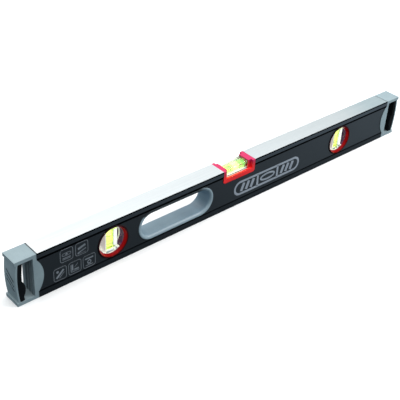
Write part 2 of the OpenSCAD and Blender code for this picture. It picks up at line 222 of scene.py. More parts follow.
def beam_finish():
    mat, tree, shader = surface("anodised_and_milled_beam", IOR=1.5, Specular_IOR_Level=0.6)
    at = place_on(tree)
    up = math_node(tree, "SUBTRACT", at["Z"], MID_Z)
    faces = math_node(tree, "GREATER_THAN", size_of(tree, up), MID_Z - 0.04 * MM)
    inner = math_node(tree, "LESS_THAN", size_of(tree, at["X"]), MILLED_END)
    milled = math_node(tree, "MULTIPLY", faces, inner)
    strip = band(tree, up, STRIP_LOW, STRIP_HIGH)
    # Painted shade: the dark lines above and below the strip.
    lines = math_node(
        tree, "ADD", band(tree, up, LINE_LOW, STRIP_LOW), band(tree, up, STRIP_HIGH, EDGE_HIGH)
    )
    cloud = noise(tree, 14, 4)
    speckle = noise(tree, 2600, 2)
    grain = ramp(tree, speckle, (0.35, grey(0.35)), (0.7, grey(0.75)))
    dark = ramp(tree, cloud, (0.3, (0.0075, 0.0100, 0.0130)), (0.75, (0.0105, 0.0140, 0.0180)))
    dark = mix_colour(tree, 0.35, dark, grain, "MULTIPLY")
    # Painted sheen: the strip gets lighter towards the right end.
    along = share(tree, at["X"], -275 * MM, 125 * MM)
    paler = ramp(tree, along, (0.0, grey(1.4)), (0.7, grey(3.0)))
    dark = mix_colour(tree, strip, dark, paler, "MULTIPLY")
    dark = mix_colour(tree, lines, dark, BLACK)
    cuts = noise(tree, 1500, 3, (0.004, 1, 1))
    bare = ramp(tree, cuts, (0.3, (0.83, 0.86, 0.87)), (0.7, (0.90, 0.93, 0.94)))
    # Painted shade: the milled faces get darker towards the right end.
    far = share(tree, at["X"], 195 * MM, 265 * MM)
    duller = ramp(tree, far, (0.0, grey(1.0)), (0.75, (0.80, 0.88, 0.90)))
    bare = mix_colour(tree, 1.0, bare, duller, "MULTIPLY")
    rough_dark = ramp(tree, speckle, (0.3, grey(0.30)), (0.7, grey(0.40)))
    rough_dark = mix_colour(tree, lines, rough_dark, grey(1.0))
    rough_bare = ramp(tree, cuts, (0.3, grey(0.30)), (0.7, grey(0.36)))
    tree.links.new(mix_colour(tree, milled, dark, bare), shader.inputs["Base Color"])
    tree.links.new(math_node(tree, "MAXIMUM", milled, lines), shader.inputs["Metallic"])
    tree.links.new(mix_colour(tree, milled, rough_dark, rough_bare), shader.inputs["Roughness"])
    bumped(tree, shader, mix_colour(tree, milled, speckle, cuts), 0.10, 0.02 * MM)
    return mat


MAT_BEAM = beam_finish()
print("beam material", MAT_BEAM.name, "with", len(MAT_BEAM.node_tree.nodes), "nodes")


# %% [markdown]
# ## Moulded plastics and rubber
# A moulding copies the texture of its steel mould, so a plastic part shows a fine even grain and
# only a faint change of colour. A plain colour would look like paper, and a scanned surface would
# have to be fitted to each piece, so one short network serves them all: two close colours, a
# roughness, and a grain with its depth.

# %% Moulded finish
def moulded(name, low, high, rough, grain, depth, **values):
    """A colour that drifts from low to high, with a grain of the given fineness and depth."""
    mat, tree, shader = surface(name, **values)
    colour = ramp(tree, noise(tree, 60, 4), (0.3, low), (0.72, high))
    fine = noise(tree, grain, 3)
    mottle = ramp(tree, fine, (0.3, grey(0.3)), (0.7, grey(0.8)))
    colour = mix_colour(tree, 0.12, colour, mottle, "OVERLAY")
    gloss = ramp(tree, fine, (0.25, grey(rough - 0.06)), (0.75, grey(rough + 0.08)))
    tree.links.new(colour, shader.inputs["Base Color"])
    tree.links.new(gloss, shader.inputs["Roughness"])
    bumped(tree, shader, fine, depth, 0.06 * MM)
    return mat


# %% [markdown]
# The beam needs two more dark materials, both painted shade. One is a dull black for the bottom of its
# grooves and for its top edges, where shade falls. The other is a darker, less shiny anodised skin for the
# lower strips, which face the ground and lie in shade. They could be masks in the beam's material too, but
# they follow its faces exactly, so each is a material.

# %% Dark skins
# Painted shade: the dull black of the grooves and the top edges.
MAT_SHADE = moulded(
    "groove_shade", BLACK, (0.004, 0.006, 0.008),
    0.85, 1500, 0.2, Specular_IOR_Level=0.03,
)
# Painted shade: the lower strip, darker and less shiny.
MAT_LOW_SHADE = moulded(
    "anodised_low_strip_shaded", (0.006, 0.008, 0.010), (0.009, 0.012, 0.015),
    0.45, 2600, 0.1, Specular_IOR_Level=0.26,
)
print("dark skins", MAT_SHADE.name, MAT_LOW_SHADE.name)


# %% [markdown]
# The caps and the slot liner are grey plastic with a touch of blue. The grip grooves and the ribs in the caps
# lie in their own shade, so they get darker greys of the same hue, which is painted shade. The liner's colour
# also carries painted shade: it is darker under its top edge, and darker and bluer along its inner wall.
# Lamps alone could give this, but a lamp for one small edge would light the rest of the tool as well.

# %% Greys
MAT_CUT = moulded(
    "cap_groove_grey", (0.012, 0.017, 0.020), (0.022, 0.029, 0.034),
    0.60, 1500, 0.2, Specular_IOR_Level=0.15,
)
MAT_RIB = moulded(
    "cap_rib_grey", (0.125, 0.160, 0.180), (0.155, 0.195, 0.215),
    0.50, 1500, 0.2, Specular_IOR_Level=0.3,
)
MAT_GREY = moulded(
    "cap_grey_plastic", (0.215, 0.275, 0.300), (0.250, 0.320, 0.345),
    0.42, 1500, 0.25, Specular_IOR_Level=0.4,
)
MAT_LINER = moulded(
    "liner_grey_plastic", (0.235, 0.310, 0.350), (0.275, 0.355, 0.400), 0.38, 1500, 0.20
)


def liner_shade(tree):
    """Painted shade: dark under the top edge of the straight part, and darker and bluer along the inner wall.
    """
    at = place_on(tree)
    up = share(tree, at["Z"], MID_Z + 9 * MM, MID_Z + 17 * MM)
    along = share(tree, at["X"], SLOT_X - 10 * MM, SLOT_X + 50 * MM)
    out = share(tree, size_of(tree, at["Y"]), 0.0, 11.111 * MM)
    top = ramp(tree, up, (0.5, grey(1.0)), (0.75, grey(0.10)))
    round_end = ramp(tree, along, (0.72, grey(0.0)), (0.92, grey(1.0)))
    top = mix_colour(tree, round_end, top, grey(1.0))
    inside = ramp(tree, out, (0.80, grey(1.0)), (0.98, grey(0.0)))
    wall = ramp(
        tree, along, (0.0, (0.80, 0.86, 0.91)), (0.55, (0.64, 0.71, 0.78)), (0.95, (0.76, 0.84, 0.93))
    )
    wall = mix_colour(tree, inside, grey(1.0), wall)
    return mix_colour(tree, 1.0, top, wall, "MULTIPLY")


multiply_colour(MAT_LINER, liner_shade)
print("greys", [m.name for m in (MAT_CUT, MAT_RIB, MAT_GREY, MAT_LINER)])


# %% [markdown]
# The pads in the caps are black rubber: the same network with a coarser grain and almost no
# gloss, because rubber scatters light in all directions.

# %% Rubber
MAT_PAD = moulded(
    "pad_rubber", (0.0030, 0.0040, 0.0050), (0.0055, 0.0065, 0.0080),
    0.75, 1200, 0.45, Specular_IOR_Level=0.08,
)
print("rubber", MAT_PAD.name)


# %% [markdown]
# ## The red of the window rings
# A ring's red is painted with light and shade. It is strongest in the middle of its dish, has a pink painted
# highlight right at the mouth with a duller band of painted shade behind it, and is nearly black towards the
# outer lip. That black is a painted reflection of the dark beam beside it, which a glossy moulding would
# mirror. Simple lamps don't give that by themselves. The distance from the ring's axis can, so it feeds a
# ramp of reds, and the lower half is darkened a little as painted shade.

# %% Ring red
DISH_FROM = 16 * MM
DISH_TO = 19 * MM


def dish_red():
    mat, tree, shader = surface("bezel_red_plastic", Specular_IOR_Level=0.06)
    at = place_on(tree)
    across = math_node(tree, "SUBTRACT", size_of(tree, at["X"]), PLUMB_X)
    up = math_node(tree, "SUBTRACT", at["Z"], MID_Z)
    squares = [math_node(tree, "POWER", side, 2.0) for side in (across, up)]
    radius = math_node(tree, "SQRT", math_node(tree, "ADD", *squares))
    # Painted highlight, shade and reflection, set by the distance from the axis.
    colour = ramp(
        tree, share(tree, radius, DISH_FROM, DISH_TO),
        (0.08, (0.60, 0.040, 0.085)), (0.22, (0.34, 0.004, 0.012)), (0.52, (0.50, 0.004, 0.004)),
        (0.80, (0.16, 0.001, 0.003)), (0.93, (0.035, 0.001, 0.002)),
    )
    # Painted shade: the lower half is darker.
    lift = share(tree, up, -18 * MM, 12 * MM)
    colour = mix_colour(tree, 1.0, colour, ramp(tree, lift, (0.0, grey(0.55)), (0.6, grey(1.0))), "MULTIPLY")
    fine = noise(tree, 1800, 3)
    mottle = ramp(tree, fine, (0.3, grey(0.3)), (0.7, grey(0.8)))
    colour = mix_colour(tree, 0.12, colour, mottle, "OVERLAY")
    tree.links.new(colour, shader.inputs["Base Color"])
    tree.links.new(ramp(tree, fine, (0.25, grey(0.24)), (0.75, grey(0.36))), shader.inputs["Roughness"])
    bumped(tree, shader, fine, 0.12, 0.06 * MM)
    return mat


MAT_RED = dish_red()
MAT_RIM = moulded(
    "bezel_dark_rim", (0.010, 0.002, 0.003), (0.018, 0.003, 0.004),
    0.50, 1800, 0.12, Specular_IOR_Level=0.12,
)
print("ring reds", MAT_RED.name, MAT_RIM.name)


# %% [markdown]
# ## The red of the vial frame
# The frame is a brighter red moulding. Its colour carries painted light: it is orange-red and brighter at its
# foot, and pinker on its hoods as a painted reflection of the sky. The moulded network is made in white and
# multiplied by a ramp that runs up the frame, so that one ramp holds the whole range of reds.

# %% Frame red
FRAME_FOOT = 45 * MM
MAT_FRAME = moulded(
    "frame_red_plastic", (0.86, 0.88, 0.88), (1.00, 1.00, 1.00),
    0.34, 1800, 0.12, Specular_IOR_Level=0.60,
)


# Painted light up the frame: brighter at the foot, a pink painted reflection on the hoods.
def frame_reds_painted_light(tree):
    return ramp(
        tree, share(tree, place_on(tree)["Z"], FRAME_FOOT, HEIGHT),
        (0.1, (0.92, 0.014, 0.014)), (0.6, (0.66, 0.008, 0.030)), (0.93, (0.56, 0.009, 0.095)),
    )


multiply_colour(MAT_FRAME, frame_reds_painted_light)
print("frame red", MAT_FRAME.name)


# %% [markdown]
# ## Whites, plum and olive
# The tray and the backing under the level vial are white. The holders in the windows are cream and let some
# light through. A faint glow stands for that light, which is painted light: light that really passes through
# thin plastic would be noisy and slow. The barrel inside a window ring is dark plum, which is the ring's red
# in painted shade. The plugs that close the vials are olive.

# %% Pale and tinted plastics
MAT_WHITE = moulded("tray_white_plastic", (0.86, 0.86, 0.83), (0.92, 0.92, 0.89), 0.40, 1600, 0.10)
MAT_HOLDER = moulded("holder_cream_plastic", (0.80, 0.80, 0.70), (0.88, 0.88, 0.79), 0.40, 1600, 0.10)
# Painted shade: the barrel's plum stands for the ring's red in shadow.
MAT_BARREL_SHADE = moulded(
    "barrel_plum_painted_shade", (0.085, 0.030, 0.105), (0.120, 0.045, 0.145),
    0.35, 1800, 0.12, Specular_IOR_Level=0.15,
)
MAT_OLIVE = moulded("plug_olive_plastic", (0.30, 0.24, 0.06), (0.42, 0.34, 0.10), 0.35, 1600, 0.10)


def glow(mat, colour, strength):
    shader = mat.node_tree.nodes["Principled BSDF"]
    shader.inputs["Emission Color"].default_value = (*colour, 1)
    shader.inputs["Emission Strength"].default_value = strength


# Painted light: the holders' glow.
glow(MAT_HOLDER, (1.0, 0.98, 0.86), 0.30)
print("plastics", [m.name for m in (MAT_WHITE, MAT_HOLDER, MAT_BARREL_SHADE, MAT_OLIVE)])


# %% [markdown]
# ## Inks
# The ring marks on the vials are black, and the printing on the web is two pale greys. Ink could be
# a mask in the web's material, but then it would have no thickness, so it is thin geometry and
# only needs a plain matt colour.

# %% Inks
MAT_RING = moulded("ring_black_ink", (0.012, 0.012, 0.012), (0.030, 0.026, 0.018), 0.45, 2500, 0.10)
MAT_PRINT = moulded("pale_grey_ink", (0.24, 0.27, 0.315), (0.31, 0.345, 0.39), 0.50, 2200, 0.10)
MAT_ICON = moulded("icon_grey_ink", (0.16, 0.18, 0.20), (0.24, 0.26, 0.29), 0.50, 2200, 0.10)
print("inks", MAT_RING.name, MAT_PRINT.name, MAT_ICON.name)


# %% [markdown]
# ## Clear acrylic, tinted liquid and air
# A vial is three see-through materials, one inside the other. Light bends by how different two neighbours
# are, so the liquid, which lies inside the acrylic, gets its index divided by the acrylic's, and the air of
# the bubble gets its index divided by the liquid's. A lamp's light should pass through clear parts and not
# stop at them, so rays going to lamps see a tinted transparent surface instead of glass. The liquid is
# fluorescent, and its faint glow stands for that and adds painted light as well. The bubble's air gets a
# faint glow too, which is painted light only.

# %% See-through materials
def clear(name, colour, ior, tint, shine=0.0):
    mat, tree, shader = surface(name, IOR=ior, Transmission_Weight=1.0)
    fine = noise(tree, 700, 2)
    tone = ramp(tree, fine, (0.2, tuple(c * 0.97 for c in colour)), (0.8, colour))
    tree.links.new(tone, shader.inputs["Base Color"])
    tree.links.new(ramp(tree, fine, (0.2, grey(0.0)), (0.8, grey(0.02))), shader.inputs["Roughness"])
    bumped(tree, shader, fine, 0.003, 0.03 * MM)
    # A glow is painted light; in the liquids it also stands for the dye's fluorescence.
    if shine:
        glow(mat, colour, shine)
    see = tree.nodes.new("ShaderNodeBsdfTransparent")
    see.inputs["Color"].default_value = (*tint, 1)
    path = tree.nodes.new("ShaderNodeLightPath")
    both = tree.nodes.new("ShaderNodeMixShader")
    tree.links.new(path.outputs["Is Shadow Ray"], both.inputs[0])
    tree.links.new(shader.outputs[0], both.inputs[1])
    tree.links.new(see.outputs[0], both.inputs[2])
    tree.links.new(both.outputs[0], tree.nodes["Material Output"].inputs["Surface"])
    return mat


MAT_ACRYLIC = clear("clear_acrylic", (0.97, 1.0, 0.96), 1.49, (0.93, 0.96, 0.92))
MAT_LIQUID = clear("vial_liquid", (0.48, 0.97, 0.34), 0.95, (0.78, 0.96, 0.50), 0.24)
MAT_PLUMB_LIQUID = clear("plumb_vial_liquid", (0.74, 0.95, 0.22), 0.95, (0.85, 0.95, 0.40), 0.30)
# Painted light: the air's glow.
MAT_AIR = clear("bubble_air", (1.0, 0.97, 0.86), 0.86, (1.0, 0.98, 0.90), 0.22)
print("see-through", MAT_ACRYLIC.name, MAT_LIQUID.name, MAT_PLUMB_LIQUID.name, MAT_AIR.name)


# %% [markdown]
# The level vial's liquid is painted paler in the middle, painted light from the bubble and the tray that lie
# behind it. It has an ochre edge low down at both sides, painted shade where light crosses more liquid. Light
# that is really absorbed on its way through the liquid could give this, but it needs many samples, so the
# surface's colour follows the place.

# %% Liquid of the level vial
EDGE_DEPTH = 5.4 * MM
PALE_HALF = 10 * MM


def vary_liquid(mat):
    tree = mat.node_tree
    shader = tree.nodes["Principled BSDF"]
    at = place_on(tree)
    sideways = math_node(tree, "ADD", size_of(tree, at["Y"]), VIAL_Z)
    low = math_node(tree, "SUBTRACT", sideways, at["Z"])
    # Painted shade: the ochre edge low down.
    edge = ramp(tree, share(tree, low, 0.0, EDGE_DEPTH), (0.78, grey(0.0)), (0.94, grey(0.7)))
    middle = share(tree, size_of(tree, at["X"]), 0.0, PALE_HALF)
    # Painted light: the paler middle.
    pale = ramp(tree, middle, (0.34, grey(0.34)), (0.60, grey(0.0)))
    tone = shader.inputs["Base Color"].links[0].from_socket
    tone = mix_colour(tree, pale, tone, (1.0, 0.95, 0.74))
    tone = mix_colour(tree, edge, tone, (0.86, 0.70, 0.15))
    tree.links.new(tone, shader.inputs["Base Color"])
    tree.links.new(tone, shader.inputs["Emission Color"])


vary_liquid(MAT_LIQUID)
print("level liquid", len(MAT_LIQUID.node_tree.nodes), "nodes")


# %% [markdown]
# ## Finishing a CAD solid
# A solid straight from CAD has mathematically sharp edges, and light never catches them. Each
# visible moulding is therefore copied, its loose triangles are joined, flat areas are merged into
# single faces, and a small bevel rounds the edges. The shape could be modelled again from
# nothing, but a copy keeps every fit of the CAD solid. The original is hidden, not changed.

# %% Finished copies
def merged(node, flatten=True):
    mesh = bmesh.new()
    mesh.from_mesh(nodes[node].data)
    bmesh.ops.remove_doubles(mesh, verts=mesh.verts, dist=2e-6)
    if flatten:
        bmesh.ops.dissolve_limit(mesh, angle_limit=math.radians(0.6), verts=mesh.verts, edges=mesh.edges)
    return mesh


def to_object(mesh, name, material):
    data = bpy.data.meshes.new(name)
    mesh.to_mesh(data)
    mesh.free()
    obj = bpy.data.objects.new(name, data)
    bpy.context.scene.collection.objects.link(obj)
    data.materials.append(material)
    return obj


def smooth(obj, angle=32):
    for face in obj.data.polygons:
        face.use_smooth = True
    obj.data.set_sharp_from_angle(angle=math.radians(angle))


def bevelled(obj, width, segments=2, angle=32):
    mod = obj.modifiers.new("Soft edges", "BEVEL")
    mod.width = width
    mod.segments = segments
    mod.limit_method = "ANGLE"
    mod.angle_limit = math.radians(angle)
    mod.use_clamp_overlap = True
    mod.harden_normals = True


def finished(node, material, width, segments=2):
    obj = to_object(merged(node), "fine_" + node, material)
    smooth(obj)
    bevelled(obj, width, segments)
    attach(obj, nodes[node]["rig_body"])
    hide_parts(node)
    return obj


trial = merged("level_vial_frame")
print("frame faces", len(nodes["level_vial_frame"].data.polygons), "as CAD and", len(trial.faces), "merged")
trial.free()


# %% [markdown]
# ## The beam, the end caps and their pads
# The beam is a plain copy of its CAD mesh, because its bevels are already cut. One mesh can carry several
# materials: a rule looks at where each face lies. The grooves and the top edges get a dull black of painted
# shade, and the lower strip gets a darker skin of painted shade. Cutting the beam into pieces would do the
# same and leave seams.

# %% A finish for each zone of a piece
GROOVE_LOW = 19.6 * MM
GROOVE_HIGH = 20.9 * MM
GROOVE_FLOOR = 9.9 * MM
CORNER_LOW = 27.4 * MM
CORNER_OUT = 10.9 * MM
LOW_STRIP_TOP = 8 * MM


def beam_zone(c, n):
    """0 is the main finish, 1 a groove or a corner of the side in painted shade, 2 a lower strip in painted
    shade.
    """
    from_mid, out = abs(c.z - MID_Z), abs(c.y)
    if GROOVE_LOW < from_mid < GROOVE_HIGH and out > GROOVE_FLOOR:
        return 1
    if from_mid > CORNER_LOW and abs(n.y) > 0.3 and out > CORNER_OUT:
        return 1
    return 2 if c.z < LOW_STRIP_TOP and out > WEB_Y and abs(n.y) > 0.5 else 0


def zoned(obj, rule, *materials):
    """Give each face the material its place on the piece calls for."""
    for material in materials:
        obj.data.materials.append(material)
    for face in obj.data.polygons:
        face.material_index = rule(face.center, face.normal)
    finishes = [face.material_index for face in obj.data.polygons]
    print(obj.name, "faces by finish", [finishes.count(i) for i in range(len(materials) + 1)])
    return obj


beam = to_object(merged("beam", flatten=False), "fine_beam", MAT_BEAM)
zoned(beam, beam_zone, MAT_SHADE, MAT_LOW_SHADE)
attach(beam, nodes["beam"]["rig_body"])
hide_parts("beam")


# %% [markdown]
# A cap is one moulding: plates that continue the measuring faces, ears that lap over the webs, and a bowed
# wall that a black rubber pad lines from inside. The slanted grooves for the grip are already cut in the CAD
# solid, so they only need their darker grey of painted shade. Rubber is softer than plastic, so the pad gets
# a wider bevel in three steps.

# %% Caps and pads
CAP_FACE = 299.1 * MM
CUT_FLOOR = 299.22 * MM
CUT_HALF_WIDTH = 8.3 * MM


def cap_zone(c, n):
    """0 is the main finish, 1 the wall or the floor of a grip groove, in painted shade."""
    out = abs(c.x)
    near_grooves = out > CAP_FACE and abs(c.y) < CUT_HALF_WIDTH and 10 * MM < c.z < 46 * MM
    return 1 if near_grooves and (abs(n.x) < 0.2 or abs(out - CUT_FLOOR) < 0.04 * MM) else 0


for side, _ in SIDES:
    zoned(finished(side + "_end_cap", MAT_GREY, 0.45 * MM), cap_zone, MAT_CUT)
    finished(side + "_cap_pad", MAT_PAD, 0.7 * MM, 3)
print("caps and pads finished")


# %% [markdown]
# ## Baking a node tree
# Geometry Nodes describe a shape by a rule. After a tree has done its work, the result is stored
# as a plain mesh and the modifier is taken off, so that the piece can move with its body. The
# sizes are the tree's named inputs, so a reader can change one and see the whole piece follow.

# %% Geometry Nodes helpers
KINDS = {"m": "NodeSocketMaterial", "o": "NodeSocketObject", "i": "NodeSocketInt", "f": "NodeSocketFloat"}


def new_tree(name, *sizes):
    tree = bpy.data.node_groups.new(name, "GeometryNodeTree")
    tree.is_modifier = True
    tree.interface.new_socket("Geometry", in_out="INPUT", socket_type="NodeSocketGeometry")
    keys = {}
    for label, kind in sizes:
        keys[label] = tree.interface.new_socket(label, in_out="INPUT", socket_type=KINDS[kind]).identifier
    tree.interface.new_socket("Geometry", in_out="OUTPUT", socket_type="NodeSocketGeometry")
    source = tree.nodes.new("NodeGroupInput")
    result = tree.nodes.new("NodeGroupOutput")
    return tree, source, result, keys


def add_node(tree, kind, links=(), **settings):
    n = tree.nodes.new(kind)
    for key, value in settings.items():
        setattr(n, key, value)
    for socket, value in links:
        if isinstance(value, bpy.types.NodeSocket):
            tree.links.new(value, n.inputs[socket])
        else:
            n.inputs[socket].default_value = value
    return n


def close_tree(tree, geometry, material, result):
    real = add_node(tree, "GeometryNodeRealizeInstances", [("Geometry", geometry)])
    coloured = add_node(
        tree, "GeometryNodeSetMaterial", [("Geometry", real.outputs[0]), ("Material", material)]
    )
    tree.links.new(coloured.outputs[0], result.inputs[0])


def grow(name, tree, keys, values, base=None):
    data = base or bpy.data.meshes.new(name)
    obj = bpy.data.objects.new(name, data)
    bpy.context.scene.collection.objects.link(obj)
    mod = obj.modifiers.new(name, "NODES")
    mod.node_group = tree
    for label, value in values.items():
        mod[keys[label]] = value
    graph = bpy.context.evaluated_depsgraph_get()
    baked = bpy.data.meshes.new_from_object(obj.evaluated_get(graph))
    obj.modifiers.clear()
    obj.data = baked
    return obj


# %% [markdown]
# ## Ribs inside the caps
# The wall that closes the beam inside each cap carries upright ribs that stiffen the moulding.
# They repeat across the wall, so a tree sets one rib on each point of a short line. Each rib is
# a tall round bead, half sunk in the wall, made by sweeping a small circle up a straight line.
# Three copies placed by hand would look the same, but their spacing would be three numbers.

# %% Cap ribs tree
def rib_tree():
    tree, source, result, keys = new_tree(
        "Cap ribs", ("Height", "f"), ("Bead", "f"), ("Spacing", "f"), ("Count", "i"), ("Material", "m")
    )
    s = source.outputs
    end = add_node(tree, "ShaderNodeCombineXYZ", [("Z", s["Height"])])
    path = add_node(tree, "GeometryNodeCurvePrimitiveLine", [("Start", (0, 0, 0)), ("End", end.outputs[0])])
    section = add_node(
        tree, "GeometryNodeCurvePrimitiveCircle", [("Resolution", 16), ("Radius", s["Bead"])], mode="RADIUS"
    )
    bead = add_node(
        tree, "GeometryNodeCurveToMesh",
        [("Curve", path.outputs[0]), ("Profile Curve", section.outputs[0]), ("Fill Caps", True)],
    )
    step = add_node(tree, "ShaderNodeCombineXYZ", [("Y", s["Spacing"])])
    line = add_node(
        tree, "GeometryNodeMeshLine",
        [("Count", s["Count"]), ("Start Location", (0, 0, 0)), ("Offset", step.outputs[0])], mode="OFFSET",
    )
    placed = add_node(
        tree, "GeometryNodeInstanceOnPoints", [("Points", line.outputs[0]), ("Instance", bead.outputs[0])]
    )
    close_tree(tree, placed.outputs[0], s["Material"], result)
    return tree, keys


RIB_TREE, RIB_KEYS = rib_tree()
RIB_WALL = 279.6 * MM
RIB_FOOT = 4.4 * MM
FIRST_RIB = -7.0 * MM
for side, sign in SIDES:
    ribs = grow(
        side + "_cap_ribs", RIB_TREE, RIB_KEYS,
        {"Height": 47.2 * MM, "Bead": 0.8 * MM, "Spacing": 5.4 * MM, "Count": 3, "Material": MAT_RIB},
    )
    ribs.data.transform(Matrix.Translation((sign * RIB_WALL, FIRST_RIB, RIB_FOOT)))
    smooth(ribs, 40)
    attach(ribs, "level")
print("cap ribs", len(ribs.data.polygons), "faces a side")


# %% [markdown]
# ## The slot liner follows a path
# The liner is one cross-section carried round a round-ended slot: a flat rim that sits on the
# web, a quarter round where the fingers bend, and a straight wall to the middle of the beam. That
# is a shape with a rule, and a copy of the CAD solid would show flat facets in its round ends. So
# a tree makes it: a rectangle with fillets as wide as its ends gives the path, and Curve to Mesh
# carries the section along it.

# %% Slot liner tree
def liner_tree():
    tree, source, result, keys = new_tree(
        "Slot liner", ("Path Length", "f"), ("Path Height", "f"), ("Corner Steps", "i"),
        ("Section", "o"), ("Material", "m"),
    )
    s = source.outputs
    path = add_node(
        tree, "GeometryNodeCurvePrimitiveQuadrilateral",
        [("Width", s["Path Length"]), ("Height", s["Path Height"])],
    )
    half = add_node(tree, "ShaderNodeMath", [(0, s["Path Height"]), (1, 0.49995)], operation="MULTIPLY")
    fillet = add_node(
        tree, "GeometryNodeFilletCurve",
        [("Curve", path.outputs[0]), ("Count", s["Corner Steps"]),
         ("Radius", half.outputs[0]), ("Limit Radius", True)],
        mode="POLY",
    )
    info = add_node(tree, "GeometryNodeObjectInfo", [("Object", s["Section"])])
    section = add_node(tree, "GeometryNodeMeshToCurve", [("Mesh", info.outputs["Geometry"])])
    swept = add_node(
        tree, "GeometryNodeCurveToMesh", [("Curve", fillet.outputs[0]), ("Profile Curve", section.outputs[0])]
    )
    close_tree(tree, swept.outputs[0], s["Material"], result)
    return tree, keys


LINER_TREE, LINER_KEYS = liner_tree()
print("liner tree inputs", list(LINER_KEYS))


# %% [markdown]
# The section is drawn as a closed loop of points: x is the distance out from the wall of the
# opening, and y runs from the middle of the beam to its face, both in millimetres. The round where
# the fingers bend is a formula, so its smoothness is one number.

# %% Slot liner section
def section_points(steps=12):
    wall, rim, bend = 2.1, 1.0, 3.4
    middle, web, face = 0.03, 10.55, 11.5
    edge = rim + bend
    pts = [(0, middle), (wall, middle), (wall, web), (edge, web), (edge, face - 0.3)]
    pts += [(edge - 0.1, face - 0.08), (edge - 0.3, face), (bend, face)]
    for i in range(1, steps + 1):
        a = math.pi / 2 * i / steps
        pts.append((bend - bend * math.sin(a), face - bend + bend * math.cos(a)))
    return pts


def loop_object(name, pts):
    data = bpy.data.meshes.new(name)
    count = len(pts)
    data.from_pydata([(x * MM, y * MM, 0) for x, y in pts], [(i, (i + 1) % count) for i in range(count)], [])
    obj = bpy.data.objects.new(name, data)
    bpy.context.scene.collection.objects.link(obj)
    return obj


THROAT = 14.2 * MM
STRAIGHT = 35.4 * MM
section = loop_object("liner_section", section_points())
liner = grow(
    "fine_slot_liner_front", LINER_TREE, LINER_KEYS,
    {"Path Length": 2 * (STRAIGHT + THROAT), "Path Height": 2 * THROAT, "Corner Steps": 20,
     "Section": section, "Material": MAT_LINER},
)
print("liner as swept", len(liner.data.vertices), [round(v / MM, 2) for v in liner.dimensions])


# %% [markdown]
# The tree draws the liner flat, in its own plane. The real one is two mouldings that meet in the
# middle of the beam, so the mesh is stood up in the slot once for the front and once, mirrored,
# for the back. Mirroring turns a mesh inside out, so the normals are worked out again.

# %% Slot liner halves
def reshape(obj, rule):
    for v in obj.data.vertices:
        v.co = rule(v.co)
    mesh = bmesh.new()
    mesh.from_mesh(obj.data)
    bmesh.ops.remove_doubles(mesh, verts=mesh.verts, dist=2e-6)
    bmesh.ops.recalc_face_normals(mesh, faces=mesh.faces)
    mesh.to_mesh(obj.data)
    mesh.free()
    smooth(obj, 40)


def liner_side(co, sign):
    return Vector((co.x + SLOT_X, -sign * abs(co.z), MID_Z + co.y))


back = bpy.data.objects.new("fine_slot_liner_back", liner.data.copy())
bpy.context.scene.collection.objects.link(back)
reshape(liner, lambda co: liner_side(co, 1))
reshape(back, lambda co: liner_side(co, -1))
bpy.data.objects.remove(section)
for obj, node in ((liner, "slot_liner_front"), (back, "slot_liner_back")):
    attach(obj, "level")
    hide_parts(node)


# %% [markdown]
# ## The red frame and the white tray
# The frame of the level vial is a saddle let into a notch of the top face, with a hood over each
# end of the vial. Under the vial lies a white tray that throws light back up. Both are mouldings
# with many fits, so they are finished copies of their CAD solids, and the frame, which is handled
# most, gets the widest bevel.

# %% Frame and tray
finished("level_vial_frame", MAT_FRAME, 0.5 * MM, 3)
finished("level_vial_tray", MAT_WHITE, 0.2 * MM)
finished("level_vial_plug", MAT_OLIVE, 0.2 * MM)
print("frame, tray and plug finished")


# %% [markdown]
# ## The plumb windows
# Each plumb window is a pair of dished rings, one from each side, with a pale ribbed holder
# between them. A ring is a turned shape. A copy of the CAD solid would show its flat facets in the
# dish, so the outline is spun round the axis in finer steps: a dark outer rim that falls away to
# the web, a rounded lip, the red dish, and a barrel that meets its twin at the middle of the beam.
# flip is -1 for the ring of the back.

# %% Window rings
DARK_FROM = 18.7
BARREL_TO = 16.4


def ring_outline(steps=6):
    """Radius and depth of each point in mm, from the barrel's inner end round the lip to the dish."""
    pts = [(16.3, 0.55), (18.0, 0.55), (18.0, 6.3), (18.5, 8.1), (18.5, 8.65), (18.0, 8.65), (18.0, 10.55)]
    pts += [(20.2, 10.55), (20.2, 10.8)]
    for i in range(1, steps + 1):
        a = math.pi / 2 * i / steps
        pts.append((18.9 + 1.3 * math.cos(a), 10.8 + 0.68 * math.sin(a)))
    pts += [(18.75, 11.5)]
    for i in range(1, steps):
        a = math.pi / 2 * i / steps
        pts.append((18.75 - 0.55 * math.sin(a), 11.5 - 0.4 * (1 - math.cos(a))))
    pts += [(18.15, 11.0), (17.4, 9.3), (16.75, 8.0), (16.35, 7.45)]
    return pts


def window_ring(name, x, flip, node, steps=96):
    mesh = bmesh.new()
    outline = ring_outline()
    loops = []
    for i in range(steps):
        a = 2 * math.pi * i / steps
        loops.append(
            [mesh.verts.new((r * MM * math.cos(a), -v * MM * flip, r * MM * math.sin(a))) for r, v in outline]
        )
    for i in range(steps):
        one, two = loops[i], loops[(i + 1) % steps]
        for j in range(len(outline)):
            k = (j + 1) % len(outline)
            face = mesh.faces.new((one[j], one[k], two[k], two[j]))
            near, far = sorted((outline[j][0], outline[k][0]))
            face.material_index = 1 if near > DARK_FROM else 2 if far < BARREL_TO else 0
    bmesh.ops.recalc_face_normals(mesh, faces=mesh.faces)
    bmesh.ops.translate(mesh, vec=Vector((x, 0, MID_Z)), verts=mesh.verts)
    obj = to_object(mesh, name, MAT_RED)
    obj.data.materials.append(MAT_RIM)
    # The barrel faces get the plum of painted shade.
    obj.data.materials.append(MAT_BARREL_SHADE)
    smooth(obj, 35)
    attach(obj, nodes[node]["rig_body"])
    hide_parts(node)


